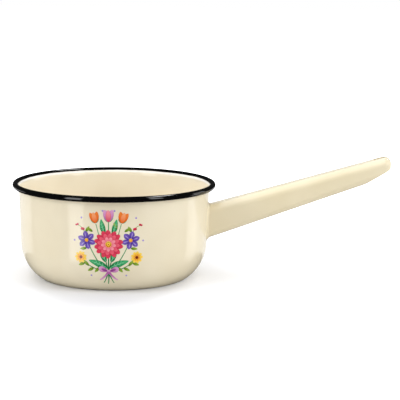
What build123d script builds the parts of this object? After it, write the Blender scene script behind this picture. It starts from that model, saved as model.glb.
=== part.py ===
from build123d import *
import math
import os

# An enamelled sheet-steel milk pan: a drawn vessel, its edge rolled outwards into a hollow rim, and a hollow
# folded handle that is welded to its wall. The rolled rim is a solid of its own because its enamel is black.
# The origin is the middle of the flat base, +Z is up and the handle points along +X.
# Sizes are in millimetres. A sheet's thickness is the finished one: steel with its enamel on both faces.

# Driving sizes of the vessel
rim_diameter = 169.6  # over the rolled bead
pan_height = 79.6  # to the top of the bead
vessel_wall = 1.2
wall_draft = 2.1  # degrees that the wall leans outwards as it rises
belly_radius = 35.8  # large curve between the wall and the heel, outside
heel_radius = 3.8  # tight curve that ends on the flat base, outside
heel_angle = 54.2  # degrees below the horizontal at which the belly hands over to the heel

# Driving sizes of the rim
bead_radius = 2.4  # outside of the rolled edge
flare_radius = 11.9  # inside of the lip's flare, between the wall and the bead
flare_angle = 35.0  # degrees that the lip leans outwards where the bead begins
curl_wrap = 280.0  # degrees that the sheet turns round the bead

# Driving sizes of the handle
handle_reach = 230.5  # from the pan's axis to the end of the nose
handle_pitch = 15.9  # degrees that its top rises
handle_drop = 18.7  # from the top of the bead down to where the handle's top meets the wall
handle_wall = 1.2
root_width = 22.0
nose_width = 21.0
root_depth = 25.8  # square to the top, at the wall
nose_depth = 15.7  # of the same section at the nose, before the underside is cut away
shoulder_radius = 7.0  # upper edges
lower_edge_radius = 4.6  # folded lower edges
nose_corner_radius = 4.8  # corners that turn the top and the sides down into the nose

# Driving sizes of the handle's open tip and hanging slot
open_length = 28.2  # from the nose back to where the underside ends
nose_lip_height = 10.4  # upright, at the end of the nose
lip_corner_radius = 4.5  # turn of the cut edge up to the nose
lip_turn_share = 0.12  # share of that radius that lies past the end of the nose
slot_length = 12.0
slot_width = 6.0
slot_setback = 4.2  # from the nose to the end of the slot

# Driving sizes of the welds
seam_gap = 0.6  # between the folded edges under the handle
seam_cap_width = 2.6
seam_cap_rise = 0.3
root_weld_leg = 1.7  # how far the weld round the root of the handle spreads over the handle and the wall

# How far a cutting shape runs past what it cuts, and how deep a shape is sunk before it is trimmed
overrun = 5.0


def on_circle(centre, radius, degrees):
    """Point at an angle on a circle."""
    angle = math.radians(degrees)
    return (centre[0] + radius * math.cos(angle), centre[1] + radius * math.sin(angle))


def arc(centre, radius, start, end):
    """Arc of a circle from one angle to another."""
    return ThreePointArc(*[on_circle(centre, radius, angle) for angle in (start, (start + end) / 2, end)])


# Places on the vessel's profile, as (distance from the axis, height)
bead_centre = (rim_diameter / 2 - bead_radius, pan_height - bead_radius)
lip_angle = 180 - flare_angle  # where the flare meets the bead, seen from the bead's centre
neck_angle = 180 - wall_draft  # where the flare meets the wall, seen from the flare's centre
flare_centre = on_circle(bead_centre, bead_radius - flare_radius, lip_angle)
neck = on_circle(flare_centre, flare_radius - vessel_wall, neck_angle)
belly_height = heel_radius + (belly_radius - heel_radius) * math.sin(math.radians(heel_angle))
wall_foot_height = belly_height - belly_radius * math.sin(math.radians(wall_draft))


def wall_distance(height):
    """Distance from the axis to the outside of the straight wall, at a height."""
    return neck[0] - (neck[1] - height) * math.tan(math.radians(wall_draft))


belly_distance = wall_distance(wall_foot_height) - belly_radius * math.cos(math.radians(wall_draft))
belly_centre = (belly_distance, belly_height)
heel_centre = on_circle(belly_centre, belly_radius - heel_radius, -heel_angle)


def outside_curve():
    """Outside of the sheet, from the middle of the base to the neck."""
    base = Line((0, 0), (heel_centre[0], 0))
    heel = arc(heel_centre, heel_radius, -90, -heel_angle)
    belly = arc(belly_centre, belly_radius, -heel_angle, -wall_draft)
    wall = Line(on_circle(belly_centre, belly_radius, -wall_draft), neck)
    return [base, heel, belly, wall]


def flared_lip():
    """Flare of the lip: out from the neck, across the sheet where the rolled rim begins, and back inside."""
    outer = arc(flare_centre, flare_radius - vessel_wall, neck_angle, lip_angle)
    inner = arc(flare_centre, flare_radius, lip_angle, neck_angle)
    return [outer, Line(outer @ 1, inner @ 0), inner]


def inside_curve():
    """Inside of the sheet, from the neck to the middle of the base."""
    belly_inside = belly_radius - vessel_wall
    belly = arc(belly_centre, belly_inside, -wall_draft, -heel_angle)
    wall = Line(on_circle(flare_centre, flare_radius, neck_angle), belly @ 0)
    heel = arc(heel_centre, heel_radius - vessel_wall, -heel_angle, -90)
    base = Line((heel_centre[0], vessel_wall), (0, vessel_wall))
    return [wall, belly, heel, base]


def turned(edges):
    """Solid turned round the pan's axis from a closed profile. Its seam lies opposite the handle."""
    half_plane = Plane(origin=(0, 0, 0), x_dir=(-1, 0, 0), z_dir=(0, 1, 0))
    return revolve(half_plane * make_face(edges), Axis.Z, 360)


def vessel():
    """Drawn vessel, up to the edge of its flared lip."""
    axis_line = Line((0, vessel_wall), (0, 0))
    return turned(outside_curve() + flared_lip() + inside_curve() + [axis_line])


def vessel_block():
    """The vessel's outside as a filled shape up to the neck. It trims what is welded to the wall."""
    top = Line(neck, (0, neck[1]))
    axis_line = Line((0, neck[1]), (0, 0))
    return turned(outside_curve() + [top, axis_line])


def rolled_rim():
    """Edge of the sheet, rolled outwards and under into a hollow bead that ends near the flare."""
    end_angle = lip_angle - curl_wrap
    skin = arc(bead_centre, bead_radius, lip_angle, end_angle)
    hollow = arc(bead_centre, bead_radius - vessel_wall, end_angle, lip_angle)
    return turned([skin, Line(skin @ 1, hollow @ 0), hollow, Line(hollow @ 1, skin @ 0)])


# The handle's frame starts where its top meets the wall. A station is a distance from there along the top.
handle_rise = math.radians(handle_pitch)
handle_top_height = pan_height - handle_drop
handle_start = Vector(wall_distance(handle_top_height), 0, handle_top_height)
handle_direction = Vector(math.cos(handle_rise), 0, math.sin(handle_rise))
handle_length = (handle_reach - handle_start.X) / math.cos(handle_rise)
root_station = -root_depth * math.tan(handle_rise) - overrun
nose_station = handle_length + nose_depth * math.tan(handle_rise)
side_plane = Plane(origin=handle_start, x_dir=handle_direction, z_dir=(0, -1, 0))
top_plane = Plane(origin=handle_start, x_dir=handle_direction, z_dir=side_plane.y_dir)


def along(at_wall, at_nose, station):
    """Size at a station, of a size that changes evenly from the wall to the nose."""
    return at_wall + (at_nose - at_wall) * station / handle_length


def underside(station, rise):
    """Place under the handle at a station, raised by a rise square to the top, in the side plane."""
    return (station, rise - along(root_depth, nose_depth, station))


def tip_cut():
    """Cutting shape under the tip, whose edge slants up from the underside and then turns up to the nose."""
    opening = side_plane.from_local_coords(Vector(*underside(handle_length - open_length, 0)))
    nose_top = handle_top_height + (handle_reach - handle_start.X) * math.tan(handle_rise)
    lip = Vector(handle_reach, nose_top - nose_lip_height)
    slant = (lip - Vector(opening.X, opening.Z)).normalized()
    start = Vector(opening.X, opening.Z) - slant * overrun
    turn = lip + slant * (lip_corner_radius * lip_turn_share / slant.X)
    far = turn.X + overrun
    low = start.Y - overrun
    corners = [start, turn, (turn.X, nose_top), (far, nose_top), (far, low), (start.X, low)]
    face = make_face(Polyline(*corners, close=True))
    face = fillet(face.vertices().sort_by_distance(turn)[0], lip_corner_radius)
    return extrude(Plane.XZ * face, root_width, both=True)


def side_form(inset):
    """Side view of the handle, drawn inwards by an inset, as a slab: a flat top over a rising underside."""
    low = [underside(root_station, inset), underside(nose_station, inset)]
    high = [(nose_station, -inset), (root_station, -inset)]
    slab = extrude(side_plane * make_face(Polyline(*low, *high, close=True)), root_width, both=True)
    return split(slab, Plane.YZ.offset(handle_reach - inset), keep=Keep.BOTTOM)


def plan_form(inset):
    """Top view of the handle, drawn inwards by an inset, as a slab: sides that draw together to the nose."""
    root_half = along(root_width, nose_width, root_station) / 2 - inset
    nose_half = along(root_width, nose_width, nose_station) / 2 - inset
    near = [(root_station, -root_half), (nose_station, -nose_half)]
    far = [(nose_station, nose_half), (root_station, root_half)]
    return extrude(top_plane * make_face(Polyline(*near, *far, close=True)), handle_length, both=True)


def handle_form(inset):
    """Filled shape of the handle, drawn inwards by an inset all round: a tapered tube with a rounded nose."""
    tube = side_form(inset) & plan_form(inset)
    tube = fillet(long_edges(tube, 4)[:2], lower_edge_radius - inset)
    tube = fillet(long_edges(tube, 6)[-2:], shoulder_radius - inset)
    end_face = tube.faces().sort_by(Axis.X)[-1]
    return fillet(end_face.edges(), nose_corner_radius - inset)


def long_edges(tube, count):
    """The longest edges of the handle, from the lowest to the highest."""
    return tube.edges().sort_by(SortBy.LENGTH)[-count:].sort_by(Axis.Z)


def hanging_slot():
    """Cutting shape of the slot in the top of the tip."""
    centre = handle_length - slot_setback - slot_length / 2
    outline = Pos(centre, 0) * SlotOverall(slot_length, slot_width)
    return extrude(top_plane * outline, nose_depth, both=True)


def seam_strip(width, below, above):
    """Strip along the middle of the underside, from below it to above it, that ends inside the open tip."""
    end = handle_length - open_length + overrun
    low = [underside(root_station, -below), underside(end, -below)]
    high = [underside(end, above), underside(root_station, above)]
    return extrude(side_plane * make_face(Polyline(*low, *high, close=True)), width / 2, both=True)


def seam_cap():
    """Low rounded bead along the middle of the underside."""
    start = side_plane.from_local_coords(Vector(*underside(root_station, 0)))
    end = side_plane.from_local_coords(Vector(*underside(handle_length, 0)))
    place = Plane(origin=start, x_dir=(0, 1, 0), z_dir=end - start)
    half = seam_cap_width / 2
    bead = ThreePointArc((-half, 0), (0, -seam_cap_rise), (half, 0))
    return extrude(place * make_face([bead, Line((half, 0), (-half, 0))]), (end - start).length)


def handle_shell(form, block):
    """Folded handle, open at the root, along the seam, at the slot and under the tip."""
    shell = form - handle_form(handle_wall) - seam_strip(seam_gap, overrun, overrun)
    return shell - hanging_slot() - tip_cut() - block


def welded_form(form, block):
    """The filled handle and the filled vessel as one, with the weld in the corner between them."""
    joined = block + form
    return chamfer(new_edges(block, form, combined=joined), root_weld_leg)


def root_weld(form, block):
    """Weld round the root of the handle: what it adds to the handle and the wall."""
    return welded_form(form, block) - block - form


def seam_weld(form, block):
    """Weld that fills the seam and stands a little below it, from the root's weld to the open tip."""
    filling = seam_strip(seam_gap, 0, handle_wall) - block
    cap = seam_cap() - welded_form(form, block)
    return filling + cap - tip_cut()


def write(solid, name):
    """Write one piece under its name."""
    export_step(solid, f"parts/{name}.step")


def main():
    """Build and write every piece."""
    os.makedirs("parts", exist_ok=True)
    block = vessel_block()
    form = handle_form(0)
    write(vessel(), "vessel")
    write(rolled_rim(), "rolled_rim")
    write(handle_shell(form, block), "handle_shell")
    write(seam_weld(form, block), "seam_weld")
    write(root_weld(form, block), "root_weld")


if __name__ == "__main__":
    main()
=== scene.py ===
"""Dresses an enamelled sheet-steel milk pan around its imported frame.

The cream vessel, its black rolled rim, the hollow handle and the welds are modelled as smooth shells that stand for
the frame's solids. A floral transfer, of a general folk kind, is fired on the front of the wall.
"""

from __future__ import annotations

import logging
import math
from collections.abc import Callable, Mapping, Sequence
from dataclasses import dataclass
from enum import Enum

import bmesh
import bpy
from mathutils import Matrix, Vector


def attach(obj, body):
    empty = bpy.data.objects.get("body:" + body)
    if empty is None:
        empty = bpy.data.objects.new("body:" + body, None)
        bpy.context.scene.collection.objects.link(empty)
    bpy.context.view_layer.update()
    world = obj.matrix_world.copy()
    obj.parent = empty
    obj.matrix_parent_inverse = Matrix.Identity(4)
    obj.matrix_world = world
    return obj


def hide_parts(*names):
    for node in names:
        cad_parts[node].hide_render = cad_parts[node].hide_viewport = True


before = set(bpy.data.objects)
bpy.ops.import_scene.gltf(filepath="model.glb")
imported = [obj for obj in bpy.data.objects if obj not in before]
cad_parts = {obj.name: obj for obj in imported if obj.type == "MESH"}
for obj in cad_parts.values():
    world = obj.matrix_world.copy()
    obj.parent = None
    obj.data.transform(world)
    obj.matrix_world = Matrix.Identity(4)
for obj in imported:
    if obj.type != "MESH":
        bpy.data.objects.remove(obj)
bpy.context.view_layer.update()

MM = 0.001
JOIN_GAP = 0.001  # millimetres within which two vertices are one
log = logging.getLogger("milk_pan")

Point = tuple[float, float]
Triple = tuple[float, float, float]
Profile = list[Point]


def linear(code: str) -> tuple[float, float, float, float]:
    """Turn an sRGB hex colour into a linear one.

    Args:
        code: Six hex digits, with or without a leading #.

    Returns:
        Linear red, green and blue, and an alpha of 1.
    """
    shares = [int(code.lstrip("#")[at:at + 2], 16) / 255 for at in (0, 2, 4)]
    red, green, blue = [c / 12.92 if c <= 0.04045 else ((c + 0.055) / 1.055) ** 2.4 for c in shares]
    return (red, green, blue, 1.0)


def add_node(tree: bpy.types.NodeTree, kind: str, inputs: Mapping[str | int, object] | None = None,
             **settings: object) -> bpy.types.Node:
    """Add a node with its settings, and fill or link its inputs.

    Args:
        tree: The node tree that it goes into.
        kind: Blender's name of the node's type.
        inputs: A value or another node's output socket for each input, by name or number.
        **settings: The node's own properties.

    Returns:
        The new node.
    """
    node = tree.nodes.new(kind)
    for name, value in settings.items():
        setattr(node, name, value)
    for name, value in (inputs or {}).items():
        if isinstance(value, bpy.types.NodeSocket):
            tree.links.new(value, node.inputs[name])
        else:
            node.inputs[name].default_value = value
    return node


def blank_material(name: str) -> tuple[bpy.types.Material, bpy.types.NodeTree]:
    """Make a material with an empty node tree.

    Args:
        name: The material's name.

    Returns:
        The material and its tree.
    """
    material = bpy.data.materials.new(name)
    material.use_nodes = True
    material.node_tree.nodes.clear()
    return material, material.node_tree


class Slot(Enum):
    """Names of two material slots, which no piece here takes its finish from."""

    CREAM = "cream_enamel"
    BLACK = "black_enamel"


@dataclass(frozen=True)
class VitreousEnamel:
    """Vitreous enamel: coloured glass frit sprayed on steel and fired at about 820 degrees.

    The eye sees an even opaque colour under a hard wet gloss. The glass levels itself while it is molten, so its
    surface is smooth but not flat: long shallow swells bend the reflections a little, and its colour deepens
    slightly where the coat has run thicker.

    Attributes:
        name: The material's name.
        colour: sRGB colour of the fired coat.
        thick_colour: sRGB colour where the coat has pooled.
        pool_size: Width of the pooled patches, in millimetres.
        pool_levels: Levels of the noise between which the coat goes from thin to pooled.
        roughness: Roughness of the glass.
        swell_size: Width of the long swells of the surface, in millimetres.
        swell_height: Height of those swells, in millimetres.
        peel_size: Width of the fine dimples, in millimetres. Real ones are near 0.8, drawn coarser so that they show.
        peel_height: Depth of those dimples, in millimetres.
        glass_ior: Refractive index of the glass.
        haze: Share of pale haze, from the fine scratches of the hands that hold it.
        haze_roughness: Roughness of that haze.
        painted_lip_highlight_colour: sRGB colour of a highlight painted along the flare of the lip, just inside the
            black, if there is one.
        painted_lip_highlight_heights: Heights above the base between which that painted highlight comes in, in
            millimetres.
    """

    name: str
    colour: str
    thick_colour: str
    pool_size: float = 42.0
    pool_levels: Point = (0.35, 0.75)
    roughness: float = 0.09
    swell_size: float = 17.0
    swell_height: float = 0.018
    peel_size: float = 2.4
    peel_height: float = 0.0006
    glass_ior: float = 1.52
    haze: float = 0.0
    haze_roughness: float = 0.4
    painted_lip_highlight_colour: str = ""
    painted_lip_highlight_heights: Point = (75.2, 76.3)

    def build(self) -> bpy.types.Material:
        """Build the material.

        Returns:
            The material.
        """
        material, tree = blank_material(self.name)
        place = add_node(tree, "ShaderNodeTexCoord").outputs["Object"]
        pools = add_node(tree, "ShaderNodeTexNoise", {
            "Vector": place, "Scale": 1 / (self.pool_size * MM), "Detail": 2.0, "Roughness": 0.45})
        pooled = add_node(tree, "ShaderNodeMapRange", {
            "Value": pools.outputs["Fac"], "From Min": self.pool_levels[0], "From Max": self.pool_levels[1]},
            interpolation_type="SMOOTHSTEP")
        colour = add_node(tree, "ShaderNodeMix", {
            "Factor": pooled.outputs["Result"], "A": linear(self.colour), "B": linear(self.thick_colour)},
            data_type="RGBA")
        # Painted highlight: near the top of the lip the colour turns paler, standing in for light caught on the flare.
        if self.painted_lip_highlight_colour:
            parts = add_node(tree, "ShaderNodeSeparateXYZ", {"Vector": place})
            lip = add_node(tree, "ShaderNodeMapRange", {
                "Value": parts.outputs["Z"], "From Min": self.painted_lip_highlight_heights[0] * MM,
                "From Max": self.painted_lip_highlight_heights[1] * MM}, interpolation_type="SMOOTHSTEP")
            colour = add_node(tree, "ShaderNodeMix", {
                "Factor": lip.outputs["Result"], "A": colour.outputs["Result"], "B": linear(self.painted_lip_highlight_colour)},
                data_type="RGBA")
        uneven: dict[str, bpy.types.NodeSocket] = {}
        for size, height, grain in ((self.swell_size, self.swell_height, 0.4), (self.peel_size, self.peel_height, 0.5)):
            noise = add_node(tree, "ShaderNodeTexNoise", {
                "Vector": place, "Scale": 1 / (size * MM), "Detail": 1.0, "Roughness": grain})
            bump = add_node(tree, "ShaderNodeBump", {
                "Height": noise.outputs["Fac"], "Distance": height * MM, "Strength": 1.0, **uneven})
            uneven = {"Normal": bump.outputs["Normal"]}
        glass = add_node(tree, "ShaderNodeBsdfPrincipled", {
            "Base Color": colour.outputs["Result"], "Roughness": self.roughness, "IOR": self.glass_ior,
            "Sheen Weight": self.haze, "Sheen Roughness": self.haze_roughness, **uneven})
        add_node(tree, "ShaderNodeOutputMaterial", {"Surface": glass.outputs["BSDF"]})
        return material


@dataclass(frozen=True)
class TransferInk:
    """Ceramic transfer ink: oxide colour printed on a slide-off sheet, then fired into the top of the enamel.

    The eye sees flat bright colour, shaded like brushwork from a deep root to a light tip, with the gloss of the
    enamel over it and a slightly darker rim where the ink lies thicker.

    Attributes:
        deep: sRGB colour at the root of a stroke.
        light: sRGB colour at its tip.
        streak: How much the brush streaks vary the shade, from 0 to 1.
        streak_scale: Streaks across, along and through a stroke.
        rim_from: Share of the way from a stroke's middle to its side at which its rim starts.
        rim_depth: How much deeper the rim is, from 0 to 1.
        roughness: Roughness of the glass.
        glass_ior: Refractive index of the glass.
    """

    deep: str
    light: str
    streak: float = 0.35
    streak_scale: Triple = (9.0, 1.6, 1.0)
    rim_from: float = 0.72
    rim_depth: float = 0.55
    roughness: float = 0.12
    glass_ior: float = 1.52

    def build(self, name: str) -> bpy.types.Material:
        """Build the material.

        Args:
            name: The material's name.

        Returns:
            The material.
        """
        material, tree = blank_material(name)
        stroke = add_node(tree, "ShaderNodeUVMap", uv_map="stroke").outputs["UV"]
        parts = add_node(tree, "ShaderNodeSeparateXYZ", {"Vector": stroke})
        stretched = add_node(tree, "ShaderNodeMapping", {"Vector": stroke, "Scale": self.streak_scale})
        streaks = add_node(tree, "ShaderNodeTexNoise", {
            "Vector": stretched.outputs["Vector"], "Scale": 1.0, "Detail": 3.0, "Roughness": 0.6})
        shift = add_node(tree, "ShaderNodeMath", {
            0: streaks.outputs["Fac"], 1: self.streak * 2, 2: -self.streak}, operation="MULTIPLY_ADD")
        shade = add_node(tree, "ShaderNodeMath", {
            0: parts.outputs["Y"], 1: shift.outputs["Value"]}, operation="ADD", use_clamp=True)
        colour = add_node(tree, "ShaderNodeMix", {
            "Factor": shade.outputs["Value"], "A": linear(self.deep), "B": linear(self.light)}, data_type="RGBA")
        centred = add_node(tree, "ShaderNodeMath", {0: parts.outputs["X"], 1: 2.0, 2: -1.0},
                           operation="MULTIPLY_ADD")
        side = add_node(tree, "ShaderNodeMath", {0: centred.outputs["Value"]}, operation="ABSOLUTE")
        rim = add_node(tree, "ShaderNodeMapRange", {
            "Value": side.outputs["Value"], "From Min": self.rim_from, "To Max": self.rim_depth},
            interpolation_type="SMOOTHSTEP")
        rimmed = add_node(tree, "ShaderNodeMix", {
            "Factor": rim.outputs["Result"], "A": colour.outputs["Result"], "B": linear(self.deep)},
            data_type="RGBA")
        glass = add_node(tree, "ShaderNodeBsdfPrincipled", {
            "Base Color": rimmed.outputs["Result"], "Roughness": self.roughness, "IOR": self.glass_ior})
        add_node(tree, "ShaderNodeOutputMaterial", {"Surface": glass.outputs["BSDF"]})
        return material


CREAM_ENAMEL = VitreousEnamel("cream_vitreous_enamel", "EEE4CB", "E9DEC3", roughness=0.12, glass_ior=1.46)
# Painted light: the inside takes a paler copy of the cream than the outside, to offset its shade and the warm light
# bounced round in it, with a painted highlight along the lip.
INSIDE_ENAMEL_PAINTED_PALER = VitreousEnamel("ivory_vitreous_enamel_of_the_inside", "F2E9D4", "EDE3CC", roughness=0.12,
                               glass_ior=1.46, painted_lip_highlight_colour="FFFDF8")
# The handle's cream is a little yellower and darker than the vessel's.
HANDLE_ENAMEL = VitreousEnamel("cream_vitreous_enamel_of_a_yellower_batch", "EBDFC0", "E5D8B6", roughness=0.15,
                               glass_ior=1.46, haze=0.3)
BLACK_ENAMEL = VitreousEnamel("black_vitreous_enamel", "050505", "070708", roughness=0.07, swell_height=0.01,
                              glass_ior=1.58)
THIN_ENAMEL = VitreousEnamel("cream_enamel_drawn_thin_on_a_cut_edge", "EFE4C8", "E6DAB9", roughness=0.3)


def on_circle(centre: Point, radius: float, angle: float) -> Point:
    """Point of a profile's circle at an angle, in degrees above the outward horizontal."""
    turn = math.radians(angle)
    return (centre[0] + radius * math.cos(turn), centre[1] + radius * math.sin(turn))


def arc(centre: Point, radius: float, start: float, end: float, steps: int) -> Profile:
    """Points along an arc of a profile.

    Args:
        centre: Distance from the axis and height of the arc's centre.
        radius: Its radius.
        start: First angle, in degrees above the outward horizontal.
        end: Last angle.
        steps: How many chords it is drawn with.

    Returns:
        The points, both ends among them.
    """
    return [on_circle(centre, radius, start + (end - start) * step / steps) for step in range(steps + 1)]


def straight(start: Point, end: Point, steps: int) -> Profile:
    """Points along a straight line of a profile.

    Args:
        start: First point.
        end: Last point.
        steps: How many equal lengths it is cut into.

    Returns:
        The points between the ends, which are left out.
    """
    shares = [step / steps for step in range(1, steps)]
    return [(start[0] + (end[0] - start[0]) * t, start[1] + (end[1] - start[1]) * t) for t in shares]


def turned(profile: Profile, steps: int) -> bmesh.types.BMesh:
    """Turn a profile that starts and ends on the pan's axis round it.

    Args:
        profile: Points as distance from the axis and height.
        steps: How many steps a full turn has.

    Returns:
        The turned mesh, closed at its seam and its poles.
    """
    bm = bmesh.new()
    verts = [bm.verts.new((distance, 0, height)) for distance, height in profile]
    edges = [bm.edges.new(pair) for pair in zip(verts, verts[1:])]
    bmesh.ops.spin(bm, geom=verts + edges, cent=(0, 0, 0), axis=(0, 0, 1), dvec=(0, 0, 0), angle=math.tau,
                   steps=steps, use_merge=True, use_normal_flip=False, use_duplicate=False)
    bmesh.ops.remove_doubles(bm, verts=bm.verts, dist=JOIN_GAP)
    bmesh.ops.recalc_face_normals(bm, faces=bm.faces)
    return bm


def doubled(bm: bmesh.types.BMesh, faces: Sequence[bmesh.types.BMFace]) -> list[bmesh.types.BMVert]:
    """Draw faces out into a closed body that has no depth yet, and return the vertices of the new side."""
    made = bmesh.ops.extrude_face_region(bm, geom=faces)["geom"]
    return [g for g in made if isinstance(g, bmesh.types.BMVert)]


def new_object(name: str, bm: bmesh.types.BMesh, finishes: Sequence[bpy.types.Material] = ()) -> bpy.types.Object:
    """Turn a mesh into an object of the scene.

    Args:
        name: Its name.
        bm: Its mesh, in metres, which is freed.
        finishes: Its materials.

    Returns:
        The object, at the origin.
    """
    mesh = bpy.data.meshes.new(name)
    bm.to_mesh(mesh)
    bm.free()
    for finish in finishes:
        mesh.materials.append(finish)
    made = bpy.data.objects.new(name, mesh)
    bpy.context.scene.collection.objects.link(made)
    return made


def add_piece(name: str, bm: bmesh.types.BMesh, finishes: Sequence[bpy.types.Material],
              stands_for: Sequence[str] = (), crease: float = 50.0) -> bpy.types.Object:
    """Turn the faces of a mesh outwards, make a piece of it, dress it and let it ride on the pan.

    Args:
        name: The piece's name.
        bm: Its mesh, in millimetres, which is freed.
        finishes: Its materials.
        stands_for: The frame's nodes that it replaces.
        crease: Angle in degrees above which an edge stays sharp.

    Returns:
        The object, at the origin.
    """
    bmesh.ops.recalc_face_normals(bm, faces=bm.faces)
    bmesh.ops.scale(bm, vec=(MM, MM, MM), verts=bm.verts)
    piece = new_object(name, bm, finishes)
    piece.data.shade_smooth()
    piece.data.set_sharp_from_angle(angle=math.radians(crease))
    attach(piece, "root")
    if stands_for:
        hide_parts(*stands_for)
    log.info("%s: %d faces", name, len(piece.data.polygons))
    return piece


@dataclass(frozen=True)
class PanShape:
    """Sizes of the drawn pan that its pieces share, in millimetres and degrees.

    Attributes:
        rim_diameter: Diameter over the rolled bead.
        height: From the base to the top of the bead.
        sheet: Thickness of the enamelled sheet.
        wall_draft: Degrees by which the straight wall leans out.
        belly_radius: Outer radius of the belly's curve.
        heel_radius: Outer radius of the tight curve that ends on the base.
        heel_angle: Degrees below the outward horizontal at which the belly's curve turns into the heel's.
        bead_radius: Outer radius of the rolled bead.
        black_coat: Thickness of the black enamel.
        flare_radius: Radius of the flare's curve, on the inside of the sheet.
        flare_angle: Degrees round the bead, up from its side that faces the axis, at which the flare meets it.
        curl_wrap: Degrees that the sheet curls round in the bead.
    """

    rim_diameter: float = 169.6
    height: float = 79.6
    sheet: float = 1.2
    wall_draft: float = 2.1
    belly_radius: float = 35.8
    heel_radius: float = 3.8
    heel_angle: float = 54.2
    bead_radius: float = 2.4
    black_coat: float = 0.12
    flare_radius: float = 11.9
    flare_angle: float = 35.0
    curl_wrap: float = 280.0

    @property
    def bead_centre(self) -> Point:
        """Centre of the rolled bead's section."""
        return (self.rim_diameter / 2 - self.bead_radius, self.height - self.bead_radius)

    @property
    def neck_angle(self) -> float:
        """Angle round the flare's curve at which the straight wall meets it."""
        return 180 - self.wall_draft

    @property
    def lip_angle(self) -> float:
        """Angle round the bead at which the flare of the lip meets it."""
        return 180 - self.flare_angle

    @property
    def flare_centre(self) -> Point:
        """Centre of the flare's curve."""
        return on_circle(self.bead_centre, self.bead_radius - self.flare_radius, self.lip_angle)

    @property
    def neck(self) -> Point:
        """Place outside the sheet where the straight wall turns into the flare."""
        return on_circle(self.flare_centre, self.flare_radius - self.sheet, self.neck_angle)

    @property
    def belly_centre(self) -> Point:
        """Centre of the belly's curve.

        Returns:
            Its distance from the axis and its height.
        """
        draft = math.radians(self.wall_draft)
        heel_height = (self.belly_radius - self.heel_radius) * math.sin(math.radians(self.heel_angle))
        height = self.heel_radius + heel_height
        foot = self.wall_distance(height - self.belly_radius * math.sin(draft))
        return (foot - self.belly_radius * math.cos(draft), height)

    @property
    def heel_centre(self) -> Point:
        """Centre of the tight curve that ends on the base."""
        return on_circle(self.belly_centre, self.belly_radius - self.heel_radius, -self.heel_angle)

    def wall_distance(self, height: float) -> float:
        """Distance from the axis to the outside of the straight wall.

        Args:
            height: Height above the base.

        Returns:
            The distance.
        """
        return self.neck[0] - (self.neck[1] - height) * math.tan(math.radians(self.wall_draft))

    def on_front(self, across: float, up: float, lift: float) -> Vector:
        """Place on the front of the wall and the belly, for what is printed there.

        Args:
            across: Distance round the wall from the middle of the front, to the right.
            up: Distance up the wall's curve from where the belly ends.
            lift: Height above the enamel.

        Returns:
            The place.
        """
        draft = math.radians(self.wall_draft)
        turn = -draft + min(up, 0) / self.belly_radius
        distance = self.belly_centre[0] + (self.belly_radius + lift) * math.cos(turn) + max(up, 0) * math.sin(draft)
        height = self.belly_centre[1] + (self.belly_radius + lift) * math.sin(turn) + max(up, 0) * math.cos(draft)
        round_axis = across / self.wall_distance(self.belly_centre[1])
        return Vector((distance * math.sin(round_axis), -distance * math.cos(round_axis), height))


@dataclass
class Vessel:
    """The drawn cream vessel, with the flare and the roll of its edge.

    Attributes:
        shape: The pan's sizes.
        turn_steps: Steps of a full turn.
        base_rings: Rings that the flat base is cut into.
        wall_rings: Rings that the straight wall is cut into.
        step_angle: Degrees that one chord of a curve turns.
        fewest_steps: Chords that a short curve has at least.
        hollow_steps: Chords of the hollow inside the bead.
        bead_steps: Chords of the bead's outside.
    """

    shape: PanShape
    turn_steps: int = 256
    base_rings: int = 5
    wall_rings: int = 9
    step_angle: float = 3.5
    fewest_steps: int = 3
    hollow_steps: int = 24
    bead_steps: int = 48

    def curve(self, centre: Point, radius: float, start: float, end: float) -> Profile:
        """Arc with as many chords as its turn and the step angle give."""
        steps = max(self.fewest_steps, round(abs(end - start) / self.step_angle))
        return arc(centre, radius, start, end, steps)

    def profile(self) -> Profile:
        """Draw the closed section of the sheet.

        Returns:
            Its points, from the middle of the base outside to the middle inside.
        """
        s = self.shape
        inside_wall = s.sheet - s.black_coat
        curl_end = s.lip_angle - s.curl_wrap
        heel = self.curve(s.heel_centre, s.heel_radius, -90, -s.heel_angle)
        belly = self.curve(s.belly_centre, s.belly_radius, -s.heel_angle, -s.wall_draft)
        flare = self.curve(s.flare_centre, s.flare_radius - s.sheet, s.neck_angle, s.lip_angle)
        hollow = arc(s.bead_centre, s.bead_radius - s.sheet, s.lip_angle, curl_end, self.hollow_steps)
        skin = arc(s.bead_centre, s.bead_radius - s.black_coat, curl_end, s.lip_angle, self.bead_steps)
        inner_flare = self.curve(s.flare_centre, s.flare_radius - s.black_coat, s.lip_angle, s.neck_angle)
        inner_belly = self.curve(s.belly_centre, s.belly_radius - inside_wall, -s.wall_draft, -s.heel_angle)
        inner_heel = self.curve(s.heel_centre, s.heel_radius - inside_wall, -s.heel_angle, -90)
        axis_low, axis_high = (0.0, 0.0), (0.0, inside_wall)
        return ([axis_low] + straight(axis_low, heel[0], self.base_rings) + heel + belly[1:]
                + straight(belly[-1], flare[0], self.wall_rings) + flare + hollow[1:] + skin + inner_flare[1:]
                + straight(inner_flare[-1], inner_belly[0], self.wall_rings) + inner_belly + inner_heel[1:]
                + straight(inner_heel[-1], axis_high, self.base_rings) + [axis_high])

    def build(self, outside: bpy.types.Material, inside: bpy.types.Material) -> bpy.types.Object:
        """Turn the sheet's section and dress it.

        Args:
            outside: The cream enamel of the outside.
            inside: A paler copy of the cream enamel, painted on every face that looks upwards, which is the inside, to
                offset its shade and the warm light bounced round in it.

        Returns:
            The vessel.
        """
        bm = turned(self.profile(), self.turn_steps)
        for face in bm.faces:
            # Every face that looks upwards, which is the inside, gets the paler copy of the cream that offsets its
            # shade.
            face.material_index = int(face.normal.z > 0)
        return add_piece("enamelled_vessel", bm, [outside, inside], ["vessel"])


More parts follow.
